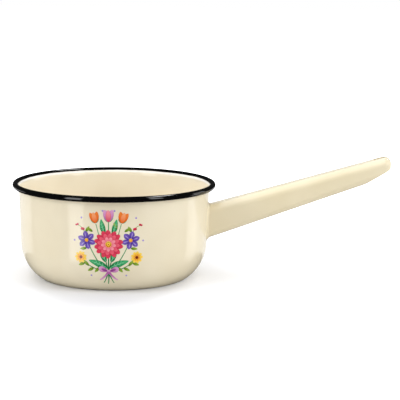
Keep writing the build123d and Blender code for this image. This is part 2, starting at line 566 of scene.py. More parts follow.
@dataclass
class BlackRim:
    """The coat of black enamel over the rolled bead and the edge of the lip, uneven where it was dipped.

    Places across the band are given by the trip over the bead, in millimetres from the coat's outer edge.

    Attributes:
        shape: The pan's sizes.
        outer_edge: Angle round the bead at which the black ends underneath.
        past_lip: How far the black runs past the bead, down the flare of the lip.
        edge_round: Length over which the coat thins to its edge.
        waver: How far its edges wander.
        waves: Height, number round the rim and phase of the waves that they wander in.
        wander_fade: The wander of an edge fades out over one part in this many of half the trip.
        sunk: How far the coat's hidden side lies below the cream one.
        turn_steps: Steps of a full turn.
        section_steps: Steps across the band.
        lining_steps: Steps of its hidden side.
    """

    shape: PanShape
    outer_edge: float = -112.0
    past_lip: float = 1.3
    edge_round: float = 0.35
    waver: float = 0.16
    waves: tuple[Triple, ...] = ((1.0, 7, 0.8), (0.6, 17, 2.1), (0.4, 31, 0.0))
    wander_fade: float = 3.0
    sunk: float = 0.1
    turn_steps: int = 256
    section_steps: int = 64
    lining_steps: int = 20

    @property
    def bead_trip(self) -> float:
        """Length of the trip over the bead."""
        s = self.shape
        return math.radians(s.lip_angle - self.outer_edge) * (s.bead_radius - s.black_coat)

    @property
    def trip(self) -> float:
        """Length of the whole trip."""
        return self.bead_trip + self.past_lip

    def place(self, at: float, above: float, around: float) -> Vector:
        """Place of a point of the coat.

        Args:
            at: Its place on the trip.
            above: Its height above the cream enamel.
            around: Its angle round the pan's axis, in radians.

        Returns:
            The place.
        """
        s = self.shape
        bead, flare = s.bead_radius - s.black_coat, s.flare_radius - s.black_coat
        if at <= self.bead_trip:
            distance, height = on_circle(s.bead_centre, bead + above, self.outer_edge + math.degrees(at / bead))
        else:
            angle = s.lip_angle + math.degrees((at - self.bead_trip) / flare)
            distance, height = on_circle(s.flare_centre, flare + above, angle)
        return Vector((distance * math.cos(around), distance * math.sin(around), height))

    def thickness(self, at: float) -> float:
        """Thickness of the coat at a place on the trip, which falls away to both edges."""
        share = min(1.0, max(0.0, min(at, self.trip - at) / self.edge_round))
        return self.shape.black_coat * math.sqrt(1 - (1 - share) ** 2)

    def wander(self, at: float, around: float) -> float:
        """Shift a place on the trip by how far the nearer edge wanders there.

        Args:
            at: The place.
            around: Its angle round the pan's axis, in radians.

        Returns:
            The shifted place.
        """
        drift = sum(height * math.sin(number * around + phase) for height, number, phase in self.waves)
        near_edge = max(0.0, abs(2 * at / self.trip - 1) * self.wander_fade - (self.wander_fade - 1))
        return at + self.waver * drift / 2 * near_edge

    def build(self, enamel: bpy.types.Material) -> bpy.types.Object:
        """Bend a grid round the bead and round the pan, close it and dress it.

        Args:
            enamel: The black enamel.

        Returns:
            The coat.
        """
        steps = self.section_steps + self.lining_steps
        bm = bmesh.new()
        bmesh.ops.create_grid(bm, x_segments=steps, y_segments=self.turn_steps, size=1.0)
        for vert in bm.verts:
            step = round((vert.co.x + 1) / 2 * steps)
            around = math.pi * (vert.co.y + 1)
            if step <= self.section_steps:
                at = self.trip * (1 - math.cos(math.pi * step / self.section_steps)) / 2
                above = self.thickness(at)
            else:
                at = self.trip * (steps - step) / self.lining_steps
                above = -self.sunk if step < steps else 0.0
            vert.co = self.place(self.wander(at, around), above, around)
        bmesh.ops.remove_doubles(bm, verts=bm.verts, dist=JOIN_GAP)
        return add_piece("black_rim_coat", bm, [enamel], ["rolled_rim"])


@dataclass
class Handle:
    """The hollow handle: a tapered sheet folded to a tube, with a turned-down nose, a slot and an open tip.

    Attributes:
        shape: The pan's sizes.
        reach: From the pan's axis to the end of the nose.
        pitch: Degrees that the top rises.
        drop: From the top of the bead down to where the top meets the wall.
        sheet: Thickness of its sheet.
        width: Width of the tube, at the wall and at the nose.
        depth: Its depth there.
        shoulder: Radius of its upper corners there.
        lower_edge: Radius of its lower corners there.
        crown: How far the top is bowed up.
        nose_turn: Straight across the curve that turns the tube down into the nose.
        nose_steps: Chords of that curve.
        open_length: Length of the tip that is open underneath.
        nose_lip: Height of the nose above the opening.
        lip_corner: Radius at which the opening's slant turns up to the nose.
        lip_overrun: How far past the nose that corner runs, as a share of its radius.
        lip_steps: Cuts that round it.
        lip_turn: Degrees of the slope towards which the cuts turn.
        slot_length: Length of the slot.
        slot_width: Its width.
        slot_setback: From the nose back to the slot.
        slot_steps: Chords of its two round ends.
        edge_round: Width of the rounding of the cut edges.
        edge_steps: Chords of that rounding.
        edge_angle: Angle in degrees above which an edge is rounded.
        flat_weight: How strongly flat faces keep their shading, out of 100.
        sunk_in_wall: How far the root runs into the wall.
        contact_rounds: Rounds in which the place where it meets the wall is narrowed down.
        corner_steps: Chords of a quarter turn in the tube's section.
        top_steps: Widths that the crowned top is cut into.
        ring_spacing: Distance between the rings of the tube.
        bare_length: Length at the nose that has no ring.
    """

    shape: PanShape
    reach: float = 230.5
    pitch: float = 15.9
    drop: float = 18.7
    sheet: float = 1.2
    width: Point = (22.0, 21.0)
    depth: Point = (25.8, 15.7)
    shoulder: Point = (7.6, 6.6)
    lower_edge: Point = (4.6, 6.2)
    crown: float = 0.5
    nose_turn: float = 7.8
    nose_steps: int = 9
    open_length: float = 28.2
    nose_lip: float = 10.4
    lip_corner: float = 4.5
    lip_overrun: float = 0.12
    lip_steps: int = 6
    lip_turn: float = 75.0
    slot_length: float = 12.0
    slot_width: float = 6.0
    slot_setback: float = 4.2
    slot_steps: int = 48
    edge_round: float = 0.38
    edge_steps: int = 3
    edge_angle: float = 50.0
    flat_weight: int = 80
    sunk_in_wall: float = 0.5
    contact_rounds: int = 24
    corner_steps: int = 10
    top_steps: int = 6
    ring_spacing: float = 6.0
    bare_length: float = 14.0

    def __post_init__(self) -> None:
        """Work out the handle's own frame, which starts where its top meets the wall."""
        rise = math.radians(self.pitch)
        height = self.shape.height - self.drop
        self.start = Vector((self.shape.wall_distance(height), 0, height))
        self.along = Vector((math.cos(rise), 0, math.sin(rise)))
        self.above = Vector((-math.sin(rise), 0, math.cos(rise)))
        self.length = (self.reach - self.start.x) / math.cos(rise)

    def tapered(self, ends: Point, station: float) -> float:
        """Size at a station, of one that changes evenly from the wall to the nose."""
        return ends[0] + (ends[1] - ends[0]) * station / self.length

    def place(self, station: float, across: float, up: float) -> Vector:
        """Place in the pan's frame of a station along the top, a distance across and one above the top."""
        return self.start + self.along * station + self.above * up + Vector((0, across, 0))

    def outline(self, station: float) -> list[Point]:
        """Draw the section of the tube, with as many points at every station.

        Args:
            station: Its distance from the wall, along the top.

        Returns:
            The points, as distances across and above the top.
        """
        half = self.tapered(self.width, station) / 2
        foot = -self.tapered(self.depth, station)
        shoulder = self.tapered(self.shoulder, station)
        low = self.tapered(self.lower_edge, station)
        corners = [
            ((half - shoulder, -shoulder), shoulder, 90, 0),
            ((half - low, foot + low), low, 0, -90),
            ((low - half, foot + low), low, -90, -180),
            ((shoulder - half, -shoulder), shoulder, 180, 90),
        ]
        points: list[Point] = []
        for centre, radius, begin, end in corners:
            points += arc(centre, radius, begin, end, self.corner_steps)
        points += straight(points[-1], points[0], self.top_steps)
        return [(y, up - self.crown * (y / half) ** 2 * max(0, 1 + up / shoulder)) for y, up in points]

    def wall_contact(self, index: int) -> tuple[Vector, float]:
        """Where one line of the tube meets the wall.

        Args:
            index: The number of the line in the outline.

        Returns:
            The place on the wall's outside, and its station along the handle.
        """
        station = 0.0
        for _ in range(self.contact_rounds):
            spot = self.place(station, *self.outline(station)[index])
            wall = self.shape.wall_distance(spot.z)
            gap = math.sqrt(wall ** 2 - spot.y ** 2) - spot.x
            station += gap * math.cos(math.radians(self.pitch))
        return spot, station

    def tube(self) -> bmesh.types.BMesh:
        """Draw the folded tube out as a skin, from inside the wall to past the nose.

        Returns:
            The skin.
        """
        bm = bmesh.new()
        ring = bmesh.ops.create_circle(bm, segments=len(self.outline(0.0)), radius=1.0)["verts"]
        rings = math.ceil((self.length - self.bare_length) / self.ring_spacing)
        for station in [self.ring_spacing * number for number in range(rings)] + [self.length + self.depth[1]]:
            if station:
                rim = set(ring)
                edges = [edge for edge in bm.edges if edge.verts[0] in rim and edge.verts[1] in rim]
                made = set(bmesh.ops.extrude_edge_only(bm, edges=edges)["geom"])
                ring = [next(e.other_vert(vert) for e in vert.link_edges if e.other_vert(vert) in made)
                        for vert in ring]
            for index, (vert, (across, up)) in enumerate(zip(ring, self.outline(station))):
                vert.co = self.place(station, across, up)
                if not station:
                    vert.co = self.wall_contact(index)[0] - Vector((self.sunk_in_wall, 0, 0))
        return bm

    def close_nose(self, bm: bmesh.types.BMesh) -> None:
        """Cut the tube off upright at the nose, close it and round its corners.

        Args:
            bm: The tube's skin.
        """
        cut = bmesh.ops.bisect_plane(bm, geom=bm.verts[:] + bm.edges[:] + bm.faces[:], plane_co=(self.reach, 0, 0),
                                     plane_no=(1, 0, 0), clear_outer=True)["geom_cut"]
        loop = [g for g in cut if isinstance(g, bmesh.types.BMEdge)]
        bmesh.ops.edgeloop_fill(bm, edges=loop)
        bmesh.ops.bevel(bm, geom=loop, offset=self.nose_turn, offset_type="WIDTH",
                        segments=self.nose_steps, profile=0.5, affect="EDGES", clamp_overlap=False, material=-1)

    def open_tip(self, bm: bmesh.types.BMesh) -> None:
        """Cut the underside of the tip away along a slant that turns up to the nose.

        Args:
            bm: The tube's skin.
        """
        heel_station = self.length - self.open_length
        heel = self.place(heel_station, 0, -self.tapered(self.depth, heel_station))
        nose_top = self.start.z + (self.reach - self.start.x) * math.tan(math.radians(self.pitch))
        toe = Vector((self.reach, 0, nose_top - self.nose_lip))
        slant = math.atan2(toe.z - heel.z, toe.x - heel.x)
        corner = Vector((self.reach + self.lip_corner * self.lip_overrun - self.lip_corner, 0, 0))
        corner.z = heel.z + (corner.x - heel.x) * math.tan(slant) + self.lip_corner / math.cos(slant)
        for step in range(self.lip_steps):
            angle = slant + (math.radians(self.lip_turn) - slant) * step / self.lip_steps
            out = Vector((math.sin(angle), 0, -math.cos(angle)))
            bmesh.ops.bisect_plane(bm, geom=bm.verts[:] + bm.edges[:] + bm.faces[:],
                                   plane_co=corner + out * self.lip_corner, plane_no=out, clear_outer=True)

    def slot_cutter(self) -> bpy.types.Object:
        """Make the long round-ended plug that the slot is cut with.

        Returns:
            The plug.
        """
        bm = bmesh.new()
        half = (self.slot_length - self.slot_width) / 2
        bmesh.ops.create_circle(bm, cap_ends=True, segments=self.slot_steps, radius=self.slot_width / 2)
        for vert in bm.verts:
            vert.co.x += math.copysign(half, vert.co.x)
        bmesh.ops.translate(bm, vec=(0, 0, self.depth[1] / 2), verts=doubled(bm, bm.faces[:]))
        bmesh.ops.recalc_face_normals(bm, faces=bm.faces)
        middle = self.place(self.length - self.slot_setback - self.slot_length / 2, 0, -self.depth[1] / 4)
        turn = Matrix((self.along, (0, 1, 0), self.above)).transposed().to_4x4()
        bmesh.ops.transform(bm, matrix=Matrix.Translation(middle) @ turn, verts=bm.verts)
        bmesh.ops.scale(bm, vec=(MM, MM, MM), verts=bm.verts)
        return new_object("slot_cutter", bm)

    def build(self, enamel: bpy.types.Material, thin_enamel: bpy.types.Material) -> bpy.types.Object:
        """Shape the tube, give it its sheet's thickness, cut the slot and round the cut edges.

        Args:
            enamel: The cream enamel.
            thin_enamel: The enamel of the rounded cut edges.

        Returns:
            The handle.
        """
        bm = self.tube()
        self.close_nose(bm)
        self.open_tip(bm)
        handle = add_piece("folded_handle", bm, [enamel, thin_enamel], ["handle_shell"])
        wall = handle.modifiers.new("sheet", "SOLIDIFY")
        wall.thickness = self.sheet * MM
        wall.offset = -1.0
        wall.use_even_offset = True
        cutter = self.slot_cutter()
        cut = handle.modifiers.new("slot", "BOOLEAN")
        cut.operation = "DIFFERENCE"
        cut.solver = "EXACT"
        cut.object = cutter
        bpy.context.view_layer.update()
        shaped = bpy.data.meshes.new_from_object(handle.evaluated_get(bpy.context.evaluated_depsgraph_get()))
        handle.modifiers.clear()
        handle.data = shaped
        bpy.data.objects.remove(cutter)
        rounding = handle.modifiers.new("rounded_edges", "BEVEL")
        rounding.width = self.edge_round * MM
        rounding.segments = self.edge_steps
        rounding.limit_method = "ANGLE"
        rounding.angle_limit = math.radians(self.edge_angle)
        rounding.material = 1
        rounding.use_clamp_overlap = True
        smooth = handle.modifiers.new("flat_faces_stay_flat", "WEIGHTED_NORMAL")
        smooth.keep_sharp = False
        smooth.weight = self.flat_weight
        handle.data.shade_smooth()
        return handle


@dataclass
class Welds:
    """The welds: a low bead along the seam under the handle, and a hollow curve round its root.

    Attributes:
        handle: The handle that they hold.
        seam_width: Width of the seam's bead.
        seam_rise: How far it stands below the underside.
        seam_start: Station at which it starts.
        seam_stop: How far it stops short of the open tip.
        seam_taper: It rises from nothing at an end over one part in this many of its half length.
        seam_ripples: Height and pace of the ripples along it, as shares of its rise and radians in a millimetre.
        seam_inset: How far its edges lie inside the underside.
        seam_body: How far its hidden side lies above the bead.
        seam_steps: Faces along it and across it.
        root_radius: Radius of the hollow curve.
        root_steps: Chords of that curve.
        sunk: How far its edges run into the handle and the wall.
    """

    handle: Handle
    seam_width: float = 2.6
    seam_rise: float = 0.3
    seam_start: float = 4.0
    seam_stop: float = 0.4
    seam_taper: float = 12.0
    seam_ripples: tuple[Point, ...] = ((0.12, 1.9), (0.08, 4.3))
    seam_inset: float = 0.03
    seam_body: float = 0.5
    seam_steps: tuple[int, int] = (60, 10)
    root_radius: float = 2.3
    root_steps: int = 7
    sunk: float = 0.25

    def build_root(self, enamel: bpy.types.Material) -> bpy.types.Object:
        """Make the hollow curve that joins the handle to the wall.

        Args:
            enamel: The cream enamel.

        Returns:
            The weld.
        """
        handle, shape = self.handle, self.handle.shape
        count = len(handle.outline(0.0))
        feet = [handle.wall_contact(index)[0] for index in range(count)]
        middle = sum(feet, Vector()) / count
        bm = bmesh.new()
        loops = []
        for step in range(self.root_steps + 2):
            verts = bmesh.ops.create_circle(bm, segments=count, radius=1.0)["verts"]
            for index, vert in enumerate(verts):
                foot = feet[index]
                upright = Vector((foot.x, foot.y, 0)).normalized()
                tangent = (feet[(index + 1) % count] - feet[index - 1]).normalized()
                away = tangent.cross(upright).normalized()
                away = away if away.dot(foot - middle) > 0 else -away
                if step > self.root_steps:
                    out, off = -self.sunk, -self.sunk
                else:
                    angle = math.radians(90 * step / self.root_steps)
                    off = self.root_radius * (1 - math.cos(angle)) - self.sunk * (step == 0)
                    out = self.root_radius * (1 - math.sin(angle)) - self.sunk * (step == self.root_steps)
                spot = foot + away * off
                wall = shape.wall_distance(spot.z)
                spot.x = math.sqrt(max(0.0, wall ** 2 - spot.y ** 2))
                vert.co = spot + (handle.along if step < 2 else upright) * out
            loops.append(verts)
        for verts, following in zip(loops, loops[1:] + loops[:1]):
            edges = [e for e in bm.edges if set(e.verts) <= set(verts) or set(e.verts) <= set(following)]
            bmesh.ops.bridge_loops(bm, edges=edges)
        return add_piece("root_weld_fillet", bm, [enamel], ["root_weld"], crease=70)

    def build_seam(self, enamel: bpy.types.Material) -> bpy.types.Object:
        """Make the low bead along the seam under the handle.

        Args:
            enamel: The cream enamel.

        Returns:
            The weld.
        """
        handle = self.handle
        run = handle.length - handle.open_length - self.seam_stop - self.seam_start
        bm = bmesh.new()
        bmesh.ops.create_grid(bm, x_segments=self.seam_steps[0], y_segments=self.seam_steps[1], size=1.0)
        for vert in bm.verts:
            station = (vert.co.x + 1) / 2 * run + self.seam_start
            ripple = 1 + sum(height * math.sin(station * pace) for height, pace in self.seam_ripples)
            taper = min(1.0, (1 - abs(vert.co.x)) * self.seam_taper) ** 0.5
            drop = self.seam_rise * (1 - vert.co.y ** 2) * ripple * taper
            foot = -handle.tapered(handle.depth, station)
            vert.co = handle.place(station, vert.co.y * self.seam_width / 2, foot - drop + self.seam_inset)
        bmesh.ops.translate(bm, vec=handle.above * self.seam_body, verts=doubled(bm, bm.faces[:]))
        return add_piece("seam_weld_bead", bm, [enamel], ["seam_weld"], crease=60)


class Ink(Enum):
    """The transfer's inks, each with its deep and its light shade."""

    STEM = TransferInk("176B3E", "2E9A5C", 0.2)
    EMERALD = TransferInk("12703C", "48B274")
    MINT = TransferInk("6CC48E", "8FD8A8", 0.2)
    OLIVE = TransferInk("4E7A16", "9DB84A")
    CRIMSON = TransferInk("A81433", "E2445E")
    CORAL = TransferInk("BE2140", "F0667A")
    BLUSH = TransferInk("D83A58", "FAA3AE")
    ROSE = TransferInk("A8509C", "E6A9D6")
    PLUM = TransferInk("7A3478", "A8549E", 0.2)
    VIOLET = TransferInk("432C8A", "7D62BE")
    LILAC = TransferInk("8B74C8", "B9A8E2", 0.2)
    ORANGE = TransferInk("D94C12", "F58A3C")
    APRICOT = TransferInk("E8621C", "FBB07A")
    YELLOW = TransferInk("EFA018", "FCDF5C")
    BROWN = TransferInk("5E1F10", "8E3A1A", 0.5)


class Layer(Enum):
    """Order in which the transfer's strokes are printed, the lowest first."""

    STEM = 0
    LEAF = 1
    VEIN = 2
    SIDE_PETAL = 3
    STREAK = 4
    SIDE_HEART = 5
    OUTER_PETAL = 6
    MIDDLE_PETAL = 7
    INNER_PETAL = 8
    HEART = 9
    SEED = 10


def bowed(start: Point, pull: Point, end: Point, share: float) -> Point:
    """Point at a share of the way along a curve that is pulled towards a point."""
    a, b, c = (1 - share) ** 2, 2 * share * (1 - share), share ** 2
    return (a * start[0] + b * pull[0] + c * end[0], a * start[1] + b * pull[1] + c * end[1])


def stepped(at: Point, turn: float, aside: float, ahead: float) -> Point:
    """Point so far aside and ahead of another, as it faces a turn in degrees clockwise from straight up."""
    cosine, sine = math.cos(math.radians(turn)), math.sin(math.radians(turn))
    return (at[0] + aside * cosine + ahead * sine, at[1] - aside * sine + ahead * cosine)


@dataclass
class PrintedSpray:
    """A symmetrical folk bunch of garden flowers tied with a bow, printed on the front of the wall.

    Its strokes are drawn on a flat sheet, in millimetres from its middle, and then laid on the wall's curve.

    Attributes:
        shape: The pan's sizes.
        middle_up: Place of the sheet's middle, up the wall from the belly.
        film: Height of the first layer of ink above the enamel.
        layer_step: Step from one layer of ink to the next.
        stroke_step: Step between strokes of one layer, so that neighbours overlap cleanly.
        stroke_cycle: How many such steps there are.
        ink_depth: Thickness of the ink.
        join_gap: Distance within which two vertices of the ink are one.
        unevenness: How much the painter's hand varies a stroke's turn, in degrees.
        hand_pace: Radians that this varying goes on by from one stroke to the next.
        stem_taper: Share of its width that a stem loses towards its end.
        stem_faces: Faces across and along a stem.
        face_size: Width and length of a face of the other strokes.
        fewest_faces: Faces across and along that a small one has at least.
    """

    shape: PanShape
    middle_up: float = 10.0
    film: float = 0.025
    layer_step: float = 0.02
    stroke_step: float = 0.003
    stroke_cycle: int = 6
    ink_depth: float = 0.012
    join_gap: float = 0.0004
    unevenness: float = 2.5
    hand_pace: float = 12.9
    stem_taper: float = 0.45
    stem_faces: tuple[int, int] = (2, 24)
    face_size: Point = (0.9, 0.8)
    fewest_faces: tuple[int, int] = (4, 8)

    def __post_init__(self) -> None:
        """Start with an empty sheet."""
        self.sheets: dict[Ink, bmesh.types.BMesh] = {}
        self.count = 0

    def stroke(self, ink: Ink, layer: Layer, path: Callable[[float, float], Point], columns: int,
               rows: int) -> None:
        """Lay down one stroke of ink, as a thin closed film.

        Args:
            ink: Its ink.
            layer: Its layer.
            path: Gives the place on the sheet for -1 to 1 across the stroke and 0 to 1 along it.
            columns: Faces across it.
            rows: Faces along it.
        """
        if ink not in self.sheets:
            self.sheets[ink] = bmesh.new()
            self.sheets[ink].loops.layers.uv.new("stroke")
        bm = self.sheets[ink]
        uv = bm.loops.layers.uv["stroke"]
        self.count += 1
        lift = self.film + self.layer_step * layer.value + self.stroke_step * (self.count % self.stroke_cycle)
        under = bmesh.ops.create_grid(bm, x_segments=columns, y_segments=rows, size=1.0)["verts"]
        over = doubled(bm, list(dict.fromkeys(face for vert in under for face in vert.link_faces)))
        shares = {vert: (vert.co.x, (1 - math.cos(math.pi * (vert.co.y + 1) / 2)) / 2) for vert in under + over}
        for face in {face for vert in shares for face in vert.link_faces}:
            for loop in face.loops:
                side, along = shares[loop.vert]
                loop[uv].uv = ((side + 1) / 2, along)
        for verts, level in ((under, lift - self.ink_depth), (over, lift)):
            for vert in verts:
                across, up = path(*shares[vert])
                vert.co = self.shape.on_front(across, self.middle_up + up, level)

    def blade(self, ink: Ink, layer: Layer, at: Point, turn: float, length: float, width: float, point: float = 2.0,
              widest: float = 0.5, bend: float = 0.0) -> None:
        """Paint a petal, leaf or disc as one broad stroke.

        Args:
            ink: Its ink.
            layer: Its layer.
            at: Place of its root.
            turn: Degrees clockwise from straight up.
            length: Its length.
            width: Its greatest width.
            point: 2 for round ends, less for pointed ones.
            widest: Share of its length at which it is widest.
            bend: Sideways bend of its tip, as a share of its length.
        """
        bias = math.log(0.5) / math.log(widest)
        facing = turn + self.unevenness * math.sin(self.hand_pace * self.count)

        def path(side: float, along: float) -> Point:
            """Find a place of the blade on the sheet.

            Args:
                side: Share of its half width, from -1 to 1.
                along: Share of its length, from 0 to 1.

            Returns:
                The place.
            """
            swell = 1 - abs(2 * along ** bias - 1) ** point
            aside = side * width / 2 * max(0.0, swell) ** (1 / point) + bend * length * along ** 2
            return stepped(at, facing, aside, length * along)

        faces = (max(fewest, round(span / size))
                 for fewest, span, size in zip(self.fewest_faces, (width, length), self.face_size))
        self.stroke(ink, layer, path, *faces)

    def dot(self, ink: Ink, layer: Layer, at: Point, size: float) -> None:
        """Paint a round dot of a given diameter."""
        self.blade(ink, layer, (at[0], at[1] - size / 2), 0, size, size)

    def stem(self, ink: Ink, start: Point, pull: Point, end: Point, width: float = 0.9,
             layer: Layer = Layer.STEM) -> None:
        """Paint a stem along a curve, thinner at its end.

        Args:
            ink: Its ink.
            start: Where it starts.
            pull: The point that its curve is pulled towards.
            end: Where it ends.
            width: Its width at the start.
            layer: Its layer.
        """
        def path(side: float, along: float) -> Point:
            """Find a place of the stem on the sheet.

            Args:
                side: Share of its half width, from -1 to 1.
                along: Share of its length, from 0 to 1.

            Returns:
                The place.
            """
            x, y = bowed(start, pull, end, along)
            dx = (1 - along) * (pull[0] - start[0]) + along * (end[0] - pull[0])
            dy = (1 - along) * (pull[1] - start[1]) + along * (end[1] - pull[1])
            half = side * width / 2 * (1 - self.stem_taper * along) / math.hypot(dx, dy)
            return (x - dy * half, y + dx * half)

        self.stroke(ink, layer, path, *self.stem_faces)

    def leaf(self, ink: Ink, rib: Ink, at: Point, turn: float, length: float, width: float, bend: float) -> None:
        """Paint a leaf with its midrib and side veins.

        Args:
            ink: The leaf's ink.
            rib: The ink of its veins.
            at: Place of its root.
            turn: Degrees clockwise from straight up.
            length: Its length.
            width: Its greatest width.
            bend: Sideways bend of its tip, as a share of its length.
        """
        self.blade(ink, Layer.LEAF, at, turn, length, width, 1.5, 0.42, bend)
        self.blade(rib, Layer.VEIN, at, turn, length * 0.86, width * 0.12, 1.6, 0.3, bend * 0.86)
        for share in (0.24, 0.42, 0.6):
            root = stepped(at, turn, bend * length * share ** 2, length * share)
            for side in (-1, 1):
                self.blade(rib, Layer.VEIN, root, turn + 42 * side, width * (0.52 - 0.3 * abs(share - 0.4)),
                           width * 0.09, 1.6, 0.3)

    def ring(self, ink: Ink, layer: Layer, at: Point, petals: int, reach: float, width: float, point: float = 2.0,
             start: float = 0.0, hollow: float = 0.0) -> None:
        """Paint a ring of petals, every other one over its neighbours.

        Args:
            ink: The petals' ink.
            layer: Their layer.
            at: The flower's middle.
            petals: How many petals there are.
            reach: Distance of their tips from the middle.
            width: Width of a petal.
            point: 2 for round petals, less for pointed ones.
            start: Degrees that the first petal is turned.
            hollow: Distance of their roots from the middle.
        """
        for number in list(range(0, petals, 2)) + list(range(1, petals, 2)):
            turn = start + 360 * number / petals
            self.blade(ink, layer, stepped(at, turn, 0, hollow), turn, reach - hollow, width, point, 0.62)

    def dahlia(self, at: Point) -> None:
        """Paint the large many-petalled flower in the middle.

        Args:
            at: Its heart.
        """
        self.ring(Ink.CRIMSON, Layer.OUTER_PETAL, at, 14, 11.6, 4.6, 1.9)
        self.ring(Ink.CORAL, Layer.MIDDLE_PETAL, at, 12, 8.8, 4.0, 1.9, 9)
        self.ring(Ink.BLUSH, Layer.INNER_PETAL, at, 9, 5.9, 3.1, 1.9, 20)
        self.dot(Ink.YELLOW, Layer.HEART, at, 5.0)
        self.ring(Ink.BROWN, Layer.SEED, at, 9, 2.1, 0.75, 2.0, 0, 1.25)
        self.dot(Ink.BROWN, Layer.SEED, at, 0.9)

    def star(self, at: Point, start: float) -> None:
        """Paint a violet flower with six pointed petals.

        Args:
            at: Its heart.
            start: Degrees that its first petal is turned.
        """
        self.ring(Ink.VIOLET, Layer.SIDE_PETAL, at, 6, 7.4, 4.5, 1.5, start)
        self.ring(Ink.LILAC, Layer.STREAK, at, 6, 6.0, 0.7, 1.6, start, 1.6)
        self.dot(Ink.YELLOW, Layer.SIDE_HEART, at, 3.0)
        self.ring(Ink.ORANGE, Layer.OUTER_PETAL, at, 6, 1.3, 0.6, 2.0, start + 30, 0.5)

    def daisy(self, at: Point, start: float) -> None:
        """Paint a small yellow flower with a brown heart.

        Args:
            at: Its heart.
            start: Degrees that its first petal is turned.
        """
        self.ring(Ink.YELLOW, Layer.SIDE_PETAL, at, 9, 5.0, 2.5, 1.9, start)
        self.ring(Ink.ORANGE, Layer.STREAK, at, 9, 3.0, 0.55, 1.7, start, 1.0)
        self.dot(Ink.BROWN, Layer.SIDE_HEART, at, 2.5)

    def tulip(self, at: Point, turn: float, ink: Ink, middle: Ink, length: float) -> None:
        """Paint a closed flower of three petals on two sepals.

        Args:
            at: Place of its root.
            turn: Degrees clockwise from straight up that it faces.
            ink: Ink of its outer petals.
            middle: Ink of the one between them.
            length: Its length.
        """
        for side in (-1, 1):
            self.blade(Ink.EMERALD, Layer.LEAF, at, turn + 52 * side, length * 0.48, 1.7, 1.6, 0.45, -0.1 * side)
            self.blade(ink, Layer.SIDE_PETAL, at, turn + 17 * side, length * 0.98, length * 0.46, 1.6, 0.5,
                       0.03 * side)
        self.blade(middle, Layer.STREAK, at, turn, length * 0.92, length * 0.42, 1.6, 0.48)

    def spray(self, start: Point, pull: Point, end: Point, side: int) -> None:
        """Paint a drooping stalk of berries.

        Args:
            start: Where it starts.
            pull: The point that its curve is pulled towards.
            end: Where it ends.
            side: 1 on the right of the bunch, -1 on the left.
        """
        self.stem(Ink.OLIVE, start, pull, end, 0.7)
        for number, share in enumerate((0.45, 0.62, 0.8, 1.0)):
            x, y = bowed(start, pull, end, share)
            sway = (-1) ** number * (share < 1)
            self.dot(Ink.CRIMSON, Layer.VEIN, (x + 1.3 * side * sway, y + 1.1 * sway), 2.3 - 0.25 * number)

    def bow(self, at: Point) -> None:
        """Paint the ribbon that ties the bunch.

        Args:
            at: Its knot.
        """
        for side in (-1, 1):
            self.stem(Ink.ROSE, at, (at[0] + 2.5 * side, at[1] - 5), (at[0] + 7.5 * side, at[1] - 8.5), 2.2,
                      Layer.SIDE_PETAL)
            self.blade(Ink.ROSE, Layer.STREAK, at, 74 * side, 8.6, 5.0, 1.8, 0.66, -0.05 * side)
            self.blade(Ink.PLUM, Layer.SIDE_HEART, at, 74 * side, 6.2, 2.1, 1.7, 0.66, -0.05 * side)
        self.dot(Ink.ROSE, Layer.OUTER_PETAL, at, 3.0)

    def paint(self) -> None:
        """Paint the bunch, each side a mirror of the other."""
        tie = (0.0, -20.0)
        self.stem(Ink.STEM, tie, (0, -8), (0, 22), 1.2)
        self.stem(Ink.STEM, tie, (0.4, -26), (-0.6, -33), 1.3)
        for side in (-1, 1):
            self.stem(Ink.STEM, tie, (2 * side, -12), (10 * side, 19))
            self.stem(Ink.STEM, tie, (8 * side, -16), (17 * side, 5), 1.0)
            self.stem(Ink.STEM, tie, (14 * side, -19), (22.5 * side, -9), 0.9)
            self.stem(Ink.STEM, tie, (1.5 * side, -26), (4.5 * side, -32), 1.2)
            self.spray((17 * side, 5), (19 * side, 17), (26 * side, 17.5), side)
            self.leaf(Ink.EMERALD, Ink.MINT, (1.0 * side, -17), 58 * side, 16, 5.6, 0.14 * side)
            self.leaf(Ink.EMERALD, Ink.MINT, (2.0 * side, -12), 26 * side, 13, 4.6, -0.12 * side)
            self.leaf(Ink.EMERALD, Ink.MINT, (3.0 * side, 11), 24 * side, 12, 4.4, -0.16 * side)
            for x, y, turn in ((12, -17, 118), (16, -15.5, 40), (19, -13, 112), (7.5, -16.5, 140)):
                self.blade(Ink.OLIVE, Layer.LEAF, (x * side, y), turn * side, 6.0, 2.6, 1.5, 0.45)
            for x, y, turn in ((17.5, -1, 100), (12.5, 12.5, 60), (6.5, 15, -25), (18.2, 12, -30)):
                self.blade(Ink.OLIVE, Layer.LEAF, (x * side, y), turn * side, 5.6, 2.4, 1.5, 0.45)
            self.star((17.5 * side, 5.5), 12 * side)
            self.daisy((22.5 * side, -8.5), 8 * side)
            self.tulip((10.2 * side, 19.5), 13 * side, Ink.ORANGE, Ink.APRICOT, 9.5)
            for x, y in ((14.5, -24), (27.5, 5), (4.6, 29.5), (21.5, 23.5)):
                self.dot(Ink.LILAC, Layer.SIDE_PETAL, (x * side, y), 1.5)
        self.tulip((0, 20.5), 0, Ink.ROSE, Ink.BLUSH, 10.5)
        self.dahlia((0, 2.5))
        self.bow(tie)

    def build(self) -> list[bpy.types.Object]:
        """Paint the whole bunch and dress each ink.

        Returns:
            One piece for each ink.
        """
        self.paint()
        pieces = []
        for ink, bm in self.sheets.items():
            bmesh.ops.remove_doubles(bm, verts=bm.verts, dist=self.join_gap)
            colour = ink.name.lower()
            pieces.append(add_piece(f"print_{colour}", bm, [ink.value.build(f"transfer_ink_{colour}")]))
        return pieces


